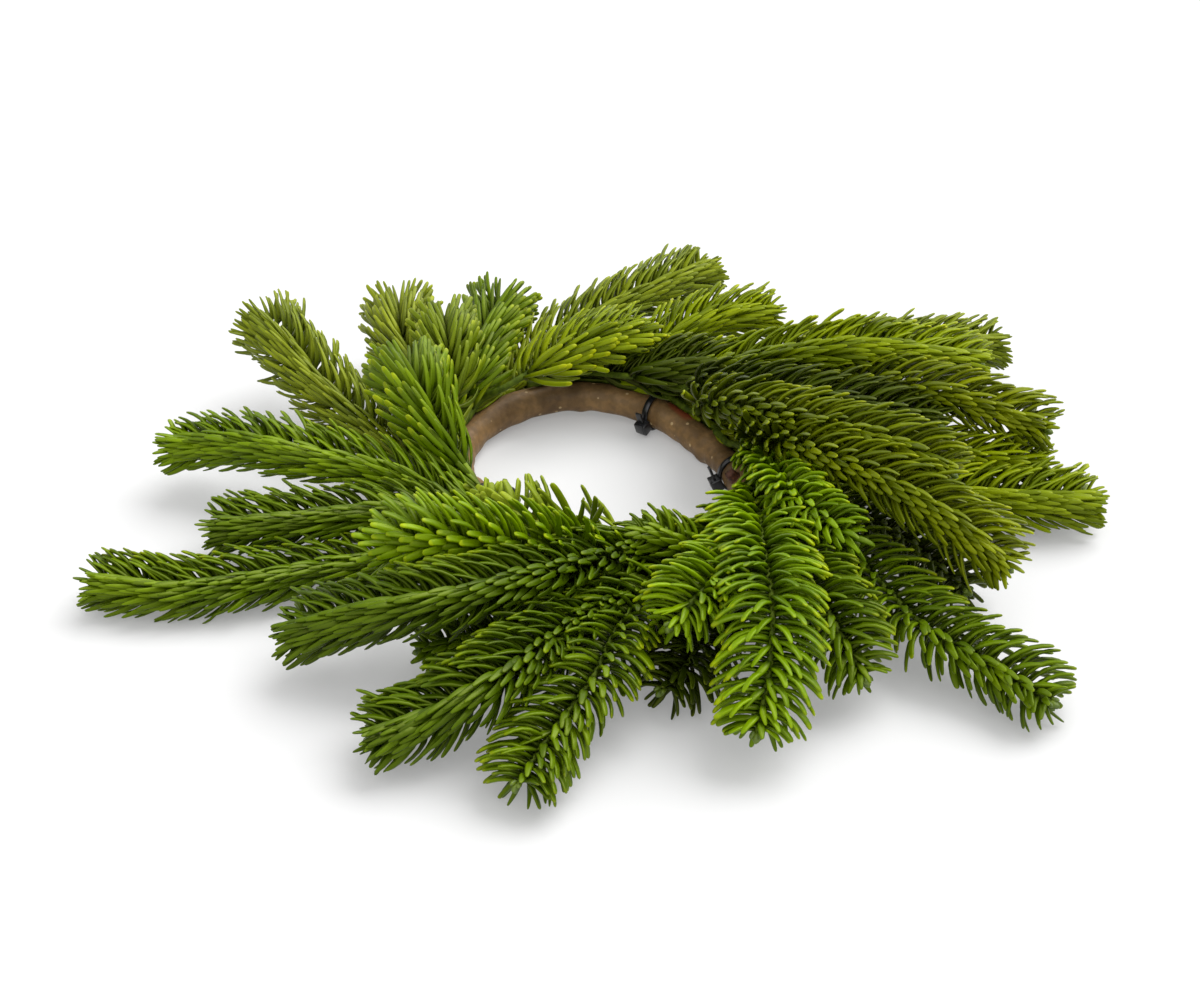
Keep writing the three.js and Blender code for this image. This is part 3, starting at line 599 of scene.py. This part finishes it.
def needles(twig, look, bare, rng):
    """Vertices of every needle of a spray, with their place along the needle and their random tone,
    darker as painted shade below the twig.
    """
    path, radial, forward, opening, under, outer = needle_paths(twig, look, bare, rng)
    count = len(path)
    path[:, 1:] = clear_of_ring(path[:, 1:], RING_ROOM)
    path[..., 2] = np.maximum(path[..., 2], FLOOR_ROOM)
    tangent = unit(np.gradient(path, axis=1))
    flat = radial + UP * FLAT_LIFT if look["droop"] >= 0 else -forward
    flat = flat + rng.normal(0, FLAT_SPREAD, (count, 3))
    across = unit(np.cross(tangent, flat[:, None]))
    normal = np.cross(across, tangent)
    half = look["width"] * rng.uniform(*WIDTH_RANGE, count)
    half = half * (TIP_WIDTH + (1 - TIP_WIDTH) * opening) / 2
    taper = 1 - (1 - outer[:, None]) * np.clip(STATIONS - TAPER_FROM, 0, None) * TOP_TAPER
    wide = (half[:, None] * WIDTHS * taper)[:, :, None] * SECTION[:, 0]
    thick = (half[:, None] * THICKNESSES * taper)[:, :, None] * SECTION[:, 1]
    body = path[:, :-1, None] + across[:, :-1, None] * wide[..., None]
    body = body + normal[:, :-1, None] * thick[..., None]
    vertices = np.concatenate([body.reshape(count, -1, 3), path[:, -1:]], 1)
    vertices[..., 2] = np.maximum(vertices[..., 2], NEEDLE_FLOOR)
    along = np.concatenate([np.repeat(STATIONS, len(SECTION)), [1.0]])
    along = along * (TOP_COLOUR + (1 - TOP_COLOUR) * outer[:, None])
    # A random tone for each needle, drawn darker as painted shade for the needles below the twig.
    random_tone_and_painted_shade = rng.uniform(0, 1, count) * (1 - UNDER_SHADE * under)
    random_tone_and_painted_shade = np.repeat(random_tone_and_painted_shade[:, None], along.shape[1], 1)
    return vertices.reshape(-1, 3), along.ravel(), random_tone_and_painted_shade.ravel(), count


def tube(line, radii, sides):
    """A round tube along a line, closed flat at both ends."""
    forward = unit(np.gradient(line, axis=0))
    side = unit(np.cross(forward, UP))
    above = np.cross(side, forward)
    a = np.arange(sides) / sides * FULL_TURN
    spoke = side[:, None] * np.cos(a)[None, :, None] + above[:, None] * np.sin(a)[None, :, None]
    vertices = (line[:, None] + radii[:, None, None] * spoke).reshape(-1, 3)
    return vertices, tube_faces(len(line), sides)


def twig_piece(name, twig, rng):
    s = np.linspace(0, twig.length + TWIG["past_end"], int(twig.length / TWIG["step"]))
    point, *_ = twig.at(np.clip(s, 0, twig.length))
    point = point + twig.forward[-1] * np.clip(s - twig.length, 0, None)[:, None]
    ripple = TWIG["ripple"] * np.sin(s * TWIG["ripple_rate"])
    radii = twig.radius(s) * (1 + ripple + rng.normal(0, TWIG["spread"], len(s)))
    vertices, faces = tube(point, radii, TWIG["sides"])
    return new_object(name, vertices, turned(faces))


def bud_share(t):
    """A bud's radius at the share t of its length, as a share of its widest."""
    shape = BUD_OUTLINE
    round_part = max(0.0, 1 - (shape["rate"] * t - shape["widest"]) ** 2 / shape["roundness"])
    return math.sqrt(round_part) * (shape["waist"] if t else shape["foot"])


def bud_piece(name, twig, rng):
    """The end buds: small rounded cones in a cluster."""
    vertices, faces = [], []
    rows, sides = BUDS["rows"], BUDS["sides"]
    point, forward, side, above = (q[0] for q in twig.at([twig.length]))
    for k in range(BUDS["count"]):
        bud = SIDE_BUD if k else MIDDLE_BUD
        turn = k * BUDS["turn"] + rng.uniform(0, 1)
        outward = side * math.cos(turn) + above * math.sin(turn)
        axis = unit(forward + outward * bud["lean"])
        centre = point + forward * BUDS["start"] + outward * bud["spread"]
        across = unit(np.cross(axis, UP))
        up = np.cross(across, axis)
        faces += tube_faces(rows, sides, len(vertices))
        for i in range(rows):
            t = i / (rows - 1)
            r = max(bud["wide"] * bud_share(t), BUDS["least"])
            for j in range(sides):
                a = FULL_TURN * j / sides
                spoke = across * math.cos(a) + up * math.sin(a)
                vertices.append(centre + axis * (t * bud["long"]) + spoke * r)
    vertices = np.array(vertices)
    vertices[:, 2] = np.maximum(vertices[:, 2], BUDS["floor"])
    return new_object(name, vertices, turned(faces))


def ring_piece():
    """The branch, finer than the CAD node, with its three flats and a few swollen joints."""
    degrees = np.arange(RING_TURNS) / RING_TURNS * 360
    facing = np.arange(RING_POINTS) / RING_POINTS * FULL_TURN
    centre = ring_centre(degrees)
    _, outward = ring_axes(degrees)
    radius = branch_radius(degrees)
    for at, spread, swell in KNOTS:
        apart = (degrees - at + 180) % 360 - 180
        radius = radius + swell * np.exp(-(apart / spread) ** 2)
    rng = np.random.default_rng(RING_SEED)
    turn = np.radians(degrees)[:, None]
    ripple = sum(rng.uniform(*RIPPLE_HEIGHT)
                 * np.cos(n * turn + m * facing[None] + rng.uniform(*RIPPLE_PHASE))
                 for n in RIPPLES_ALONG for m in RIPPLES_ROUND)
    reach = radius[:, None] + ripple
    sideways, upwards = reach * np.cos(facing), reach * np.sin(facing)
    points = centre[:, None] + outward[:, None] * sideways[..., None] + UP * upwards[..., None]
    points[..., 2] = np.maximum(points[..., 2], 0.0)
    faces = grid_faces(RING_TURNS, RING_POINTS, closed=True)
    return new_object("ring_branch", points.reshape(-1, 3), turned(faces))


def stub_piece():
    """The broken side branch: a short taper that flares at the ring and ends ragged."""
    rows, sides = STUB_SHAPE["rows"], STUB_SHAPE["sides"]
    facing = math.radians(STUB["facing"])
    _, outward = ring_axes(float(STUB["at"]))
    axis = outward * math.cos(facing) + UP * math.sin(facing)
    steps = np.linspace(STUB_SHAPE["start"], STUB["length"] - STUB_SHAPE["inset"], rows)
    line = ring_centre(STUB["at"]) + axis * steps[:, None]
    past = (steps - STUB_FLARE["from"]).clip(0)
    flare = STUB_FLARE["height"] * np.exp(-past / STUB_FLARE["fade"])
    radii = STUB["radius"] * (1.0 + flare) * np.linspace(1, STUB_SHAPE["taper"], rows)
    vertices, faces = tube(line, radii, sides)
    rng = np.random.default_rng(STUB_SEED)
    vertices[-sides:] += axis * rng.uniform(*STUB_SPLINTERS, (sides, 1))
    return new_object("ring_broken_stub", vertices, turned(faces))


def strapped_circles(degrees):
    """The branch and the stems under a tie, as circles: outward and upward place, radius."""
    circles = [(0.0, 0.0, float(branch_radius(degrees)) + STRAP_SLACK)]
    for _, leaves, lane, *_ in SPRAYS:
        if (degrees - leaves) % 360 > STEM_RUN:
            continue
        reach = float(branch_radius(degrees)) + GAP + STEM_RADIUS
        facing = math.radians(LANES[lane])
        circles.append((reach * math.cos(facing), reach * math.sin(facing), STEM_RADIUS))
    return circles


def rounded_block(name, low, high, round_by, origin, axes):
    """A box with rounded edges, placed with its axes in the ring's cross-section."""
    mesh = bpy.data.meshes.new(name)
    corners = [[(low, high)[(i >> k) & 1][k] for k in range(3)] for i in range(8)]
    world = [(origin + sum(c[k] * axes[k] for k in range(3)) - MIDDLE) * MM for c in corners]
    faces = [(0, 2, 3, 1), (4, 5, 7, 6), (0, 1, 5, 4), (2, 6, 7, 3), (0, 4, 6, 2), (1, 3, 7, 5)]
    mesh.from_pydata([tuple(w) for w in world], [], faces)
    piece = bpy.data.objects.new(name, mesh)
    bpy.context.scene.collection.objects.link(piece)
    bevel = piece.modifiers.new("edges", "BEVEL")
    bevel.width = round_by * MM
    bevel.segments = EDGE_STEPS
    mesh.shade_smooth()
    mesh.update()
    return piece


def strap_piece(name, degrees, centre, along, outward):
    """A strap with cut corners round the branch and the stems that lie under it."""
    a = np.arange(STRAP_STEPS) / STRAP_STEPS * FULL_TURN
    circles = strapped_circles(degrees)
    reach = np.max([x * np.cos(a) + y * np.sin(a) + r for x, y, r in circles], 0)
    slope = np.gradient(np.concatenate([reach[-2:], reach, reach[:2]]), a[1])[2:-2]
    middle = GAP + STRAP_EASE + STRAP_THICKNESS / 2
    t, w, c = STRAP_THICKNESS / 2, STRAP_WIDTH / 2, STRAP_CORNER
    profile = [(-t, -w + c), (-t + c, -w), (t - c, -w), (t, -w + c),
               (t, w - c), (t - c, w), (-t + c, w), (-t, w - c)]
    vertices = []
    for i in range(STRAP_STEPS):
        away = np.array([math.cos(a[i]), math.sin(a[i])])
        onward = np.array([-away[1], away[0]])
        for out, wide in profile:
            q = away * (reach[i] + middle + out) + onward * slope[i]
            height = max(q[1], STRAP_FLOOR - centre[2])
            vertices.append(centre + outward * q[0] + UP * height + along * wide)
    faces = grid_faces(STRAP_STEPS, len(profile), closed=True)
    return new_object(name, np.array(vertices), turned(faces))


def tie_pieces(number, degrees):
    """A tie's strap, its square head with a lip, and its cut tail."""
    along, outward = ring_axes(float(degrees))
    centre = ring_centre(degrees)
    strap = strap_piece(f"tie_{number}_strap", degrees, centre, along, outward)
    facing = math.radians(HEAD["facing"])
    out = outward * math.cos(facing) + UP * math.sin(facing)
    up = -outward * math.sin(facing) + UP * math.cos(facing)
    base = float(branch_radius(degrees)) + GAP + STRAP_THICKNESS / 2
    axes = (out, up, along)
    h, w, d = HEAD["height"] / 2, HEAD["width"] / 2, HEAD["depth"]
    head = rounded_block(f"tie_{number}_head", (base - HEAD_SINK, -h, -w), (base + d, h, w),
                         HEAD_EDGE, centre, axes)
    lip_low = (base + d - LIP["sink"], -h - LIP["below"], -w + LIP["side_inset"])
    lip_high = (base + d + LIP["past"], h - LIP["top_inset"], w - LIP["side_inset"])
    lip = rounded_block(f"tie_{number}_lip", lip_low, lip_high, LIP["edge"], centre, axes)
    t = STRAP_THICKNESS / 2
    tail_low = (base + d / 2 - t, -h - 2 * TIE_TAIL, -STRAP_WIDTH / 2)
    tail_high = (base + d / 2 + t, h, STRAP_WIDTH / 2)
    tail = rounded_block(f"tie_{number}_tail", tail_low, tail_high, TAIL_EDGE, centre, axes)
    return strap, head, lip, tail


# ---- Materials ----

def material(name):
    m = bpy.data.materials.new(name)
    m.use_nodes = True
    tree = m.node_tree
    tree.nodes.clear()
    out = tree.nodes.new("ShaderNodeOutputMaterial")
    shader = tree.nodes.new("ShaderNodeBsdfPrincipled")
    tree.links.new(shader.outputs[0], out.inputs[0])
    return m, tree, shader


def ramp(tree, source, stops):
    """A colour ramp; its first two stops are its ends."""
    node = tree.nodes.new("ShaderNodeValToRGB")
    for i, (place, colour) in enumerate(stops):
        stop = node.color_ramp.elements[i] if i < 2 else node.color_ramp.elements.new(place)
        stop.position = place
        stop.color = (*colour, 1)
    tree.links.new(source, node.inputs[0])
    return node.outputs[0]


def noise(tree, scale, detail=3.0, roughness=0.55):
    place = tree.nodes.new("ShaderNodeTexCoord")
    node = tree.nodes.new("ShaderNodeTexNoise")
    node.inputs["Scale"].default_value = scale
    node.inputs["Detail"].default_value = detail
    node.inputs["Roughness"].default_value = roughness
    tree.links.new(place.outputs["Object"], node.inputs["Vector"])
    return node.outputs[0]


def math_node(tree, operation, a, b):
    node = tree.nodes.new("ShaderNodeMath")
    node.operation = operation
    for i, value in enumerate((a, b)):
        if isinstance(value, (int, float)):
            node.inputs[i].default_value = value
        else:
            tree.links.new(value, node.inputs[i])
    return node.outputs[0]


def mix(tree, kind, factor, a, b):
    node = tree.nodes.new("ShaderNodeMix")
    node.data_type = "RGBA"
    node.blend_type = kind
    for socket, value in ((node.inputs[0], factor), (node.inputs[6], a), (node.inputs[7], b)):
        if isinstance(value, (int, float)):
            socket.default_value = value
        elif isinstance(value, tuple):
            socket.default_value = (*value, 1)
        else:
            tree.links.new(value, socket)
    return node.outputs[2]


def bump(tree, shader, height, relief):
    node = tree.nodes.new("ShaderNodeBump")
    node.inputs["Strength"].default_value = relief["strength"]
    node.inputs["Distance"].default_value = relief["depth"]
    tree.links.new(height, node.inputs["Height"])
    tree.links.new(node.outputs[0], shader.inputs["Normal"])


def attribute(tree, name):
    node = tree.nodes.new("ShaderNodeAttribute")
    node.attribute_name = name
    return node.outputs["Fac"]


# Materials of two mottled colours, given as the shader's linear values.
BUD_LOOK = {"grain": 500, "colours": (linear((52, 72, 2)), linear((98, 118, 6))), "roughness": 0.5,
            "relief": {"scale": 1500, "detail": 2.0, "strength": 0.3, "depth": 0.0003}}
# The twigs' own green-brown, drawn darker as painted shade, so that the bare stems read as shade
# among the needles.
TWIG_LOOK = {"grain": 350, "colours": (linear((44, 58, 4)), linear((80, 96, 12))),
             "roughness": 0.7, "gloss": 0.15,
             "relief": {"scale": 900, "detail": 3.0, "strength": 0.4, "depth": 0.0004}}
WOOD_LOOK = {"grain": 700, "colours": (linear((48, 22, 12)), linear((104, 58, 34))),
             "roughness": 0.75,
             "relief": {"scale": 1200, "detail": 3.0, "strength": 0.6, "depth": 0.0006}}
NYLON_LOOK = {"grain": 300, "colours": ((0.006, 0.006, 0.007), (0.014, 0.014, 0.016)),
              "roughness": 0.28,
              "relief": {"scale": 1800, "detail": 2.0, "strength": 0.15, "depth": 0.0002}}


def grained_material(name, look):
    """Two colours mottled by a fine noise, with a relief."""
    m, tree, shader = material(name)
    colour = ramp(tree, noise(tree, look["grain"]), list(zip(GRAIN_ENDS, look["colours"])))
    tree.links.new(colour, shader.inputs["Base Color"])
    shader.inputs["Roughness"].default_value = look["roughness"]
    if "gloss" in look:
        shader.inputs["Specular IOR Level"].default_value = look["gloss"]
    relief = look["relief"]
    bump(tree, shader, noise(tree, relief["scale"], relief["detail"]), relief)
    return m


def needle_material(tone):
    look = NEEDLE_LOOK
    m, tree, shader = material(f"needles_{tone}")
    root, middle, end = (linear(c) for c in TONES[tone])
    off = math_node(tree, "SUBTRACT", noise(tree, look["wander_scale"]), 0.5)
    wander = math_node(tree, "MULTIPLY", off, look["wander"])
    along = math_node(tree, "ADD", attribute(tree, "along"), wander)
    first, last = look["middle"]
    # The colour runs from the root's painted shade through the middle colour to the lighter end.
    colour = ramp(tree, along, [(0.0, root), (1.0, end), (first, middle), (last, middle)])
    darkest, usual, lightest = look["shades"]
    # shade: the random tone of each needle, with painted shade on those below the twig.
    shade = ramp(tree, attribute(tree, "random_tone_and_painted_shade"), [(0.0, darkest), (1.0, lightest), (0.5, usual)])
    colour = mix(tree, "MULTIPLY", 1.0, colour, shade)
    patches = list(zip(look["patch_ends"], look["patches"]))
    patch = ramp(tree, noise(tree, look["patch_scale"], look["patch_detail"]), patches)
    colour = mix(tree, "MULTIPLY", 1.0, colour, patch)
    tree.links.new(colour, shader.inputs["Base Color"])
    shader.inputs["Roughness"].default_value = look["roughness"]
    shader.inputs["Specular IOR Level"].default_value = look["gloss"]
    shader.inputs["Specular Tint"].default_value = (*look["gloss_tint"], 1)
    relief = look["relief"]
    bump(tree, shader, noise(tree, relief["scale"], relief["detail"]), relief)
    return m


def bark_material():
    """Taupe bark, mottled, with small pale dots and a few reddish scars."""
    look = BARK_LOOK
    m, tree, shader = material("ring_bark")
    tones = list(zip(look["tone_ends"], (linear(c) for c in look["tones"])))
    tone = ramp(tree, noise(tree, look["tone_scale"], look["tone_detail"]), tones)
    mottles = list(zip(look["mottle_ends"], look["mottles"]))
    mottle = ramp(tree, noise(tree, look["mottle_scale"]), mottles)
    colour = mix(tree, "MULTIPLY", 1.0, tone, mottle)
    dots = tree.nodes.new("ShaderNodeTexVoronoi")
    dots.inputs["Scale"].default_value = look["dot_scale"]
    place = tree.nodes.new("ShaderNodeTexCoord")
    tree.links.new(place.outputs["Object"], dots.inputs["Vector"])
    dot = ramp(tree, dots.outputs["Distance"], list(zip(look["dot_ends"], (WHITE, BLACK))))
    colour = mix(tree, "MIX", dot, colour, linear(look["dot"]))
    scar_stops = list(zip(look["scar_ends"], (BLACK, WHITE)))
    scars = ramp(tree, noise(tree, look["scar_scale"], look["scar_detail"]), scar_stops)
    colour = mix(tree, "MIX", scars, colour, linear(look["scar"]))
    tree.links.new(colour, shader.inputs["Base Color"])
    shader.inputs["Roughness"].default_value = look["roughness"]
    shader.inputs["Specular IOR Level"].default_value = look["gloss"]
    relief = look["relief"]
    grain = noise(tree, relief["scale"], relief["detail"])
    height = ramp(tree, grain, list(zip(look["relief_ends"], (BLACK, WHITE))))
    bump(tree, shader, mix(tree, "ADD", look["dot_share"], height, dot), relief)
    return m


# ---- Sprays ----

needle_materials = {tone: needle_material(tone) for tone in TONES}
buds, twig_bark_and_painted_shade = grained_material("buds", BUD_LOOK), grained_material("twig_bark_and_painted_shade", TWIG_LOOK)

for index, (name, leaves, lane, look, tone, points) in enumerate(SPRAYS):
    rng = np.random.default_rng(FIRST_SEED + index)
    twig = Twig(leaves, lane, points)
    vertices, along, random_tone_and_painted_shade, count = needles(twig, LOOKS[look], BARE.get(name, BARE_STEM), rng)
    attributes = {"along": along, "random_tone_and_painted_shade": random_tone_and_painted_shade}
    piece = new_object(f"needles_{name}", vertices, needle_faces(count), attributes)
    piece.data.materials.append(needle_materials[tone])
    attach(piece, "root")
    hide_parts(f"spray_{name}")
    stem = twig_piece(f"twig_{name}", twig, rng)
    stem.data.materials.append(twig_bark_and_painted_shade)
    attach(stem, "root")
    tip = bud_piece(f"buds_{name}", twig, rng)
    tip.data.materials.append(buds)
    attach(tip, "root")

# ---- Ring and ties ----

ring = ring_piece()
ring.data.materials.append(bark_material())
stub = stub_piece()
stub.data.materials.append(grained_material("broken_wood", WOOD_LOOK))
for piece in (ring, stub):
    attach(piece, "root")
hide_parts("ring")

nylon = grained_material("nylon", NYLON_LOOK)
for number, degrees in enumerate(TIE_ANGLES, 1):
    for piece in tie_pieces(number, degrees):
        piece.data.materials.append(nylon)
        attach(piece, "root")
        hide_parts(f"tie_{number}")

# ---- Camera, light and floor ----

target = Vector((np.array(CAMERA["target"]) - MIDDLE) * MM)
elevation = math.radians(CAMERA["elevation"])
back = Vector((0, -math.cos(elevation), math.sin(elevation)))
camera = bpy.data.objects.new("camera", bpy.data.cameras.new("camera"))
bpy.context.scene.collection.objects.link(camera)
camera.location = target + back * CAMERA["distance"] * MM
camera.rotation_euler = (-back).to_track_quat("-Z", "Y").to_euler()
camera.data.lens = CAMERA["lens"]
camera.data.sensor_width = CAMERA["sensor"]
camera.data.sensor_fit = "HORIZONTAL"
camera.data.clip_end = CAMERA["reach"]
bpy.context.scene.camera = camera


def far_light(name, place, spread, power):
    """A large soft light far away: it comes from place, over an angle of spread degrees."""
    lamp = bpy.data.lights.new(name, "SUN")
    lamp.angle = math.radians(spread)
    lamp.energy = power
    light = bpy.data.objects.new(name, lamp)
    bpy.context.scene.collection.objects.link(light)
    light.location = place
    light.rotation_euler = (-Vector(place)).to_track_quat("-Z", "Y").to_euler()


far_light("key", **KEY_LIGHT)
far_light("fill", **FILL_LIGHT)

world = bpy.data.worlds.new("studio")
world.use_nodes = True
world.node_tree.nodes["Background"].inputs[0].default_value = (*WHITE, 1)
world.node_tree.nodes["Background"].inputs[1].default_value = STUDIO_LIGHT
bpy.context.scene.world = world
bpy.context.scene.view_settings.view_transform = "Standard"

bpy.ops.mesh.primitive_plane_add(size=FLOOR["size"], location=FLOOR["place"])
floor = bpy.context.object
floor.name = "floor"
paper, tree, shader = material("floor_paper")
shader.inputs["Base Color"].default_value = (FLOOR["grey"], FLOOR["grey"], FLOOR["grey"], 1)
shader.inputs["Roughness"].default_value = FLOOR["roughness"]
shader.inputs["Emission Color"].default_value = (*WHITE, 1)
shader.inputs["Emission Strength"].default_value = FLOOR["glow"]
floor.data.materials.append(paper)
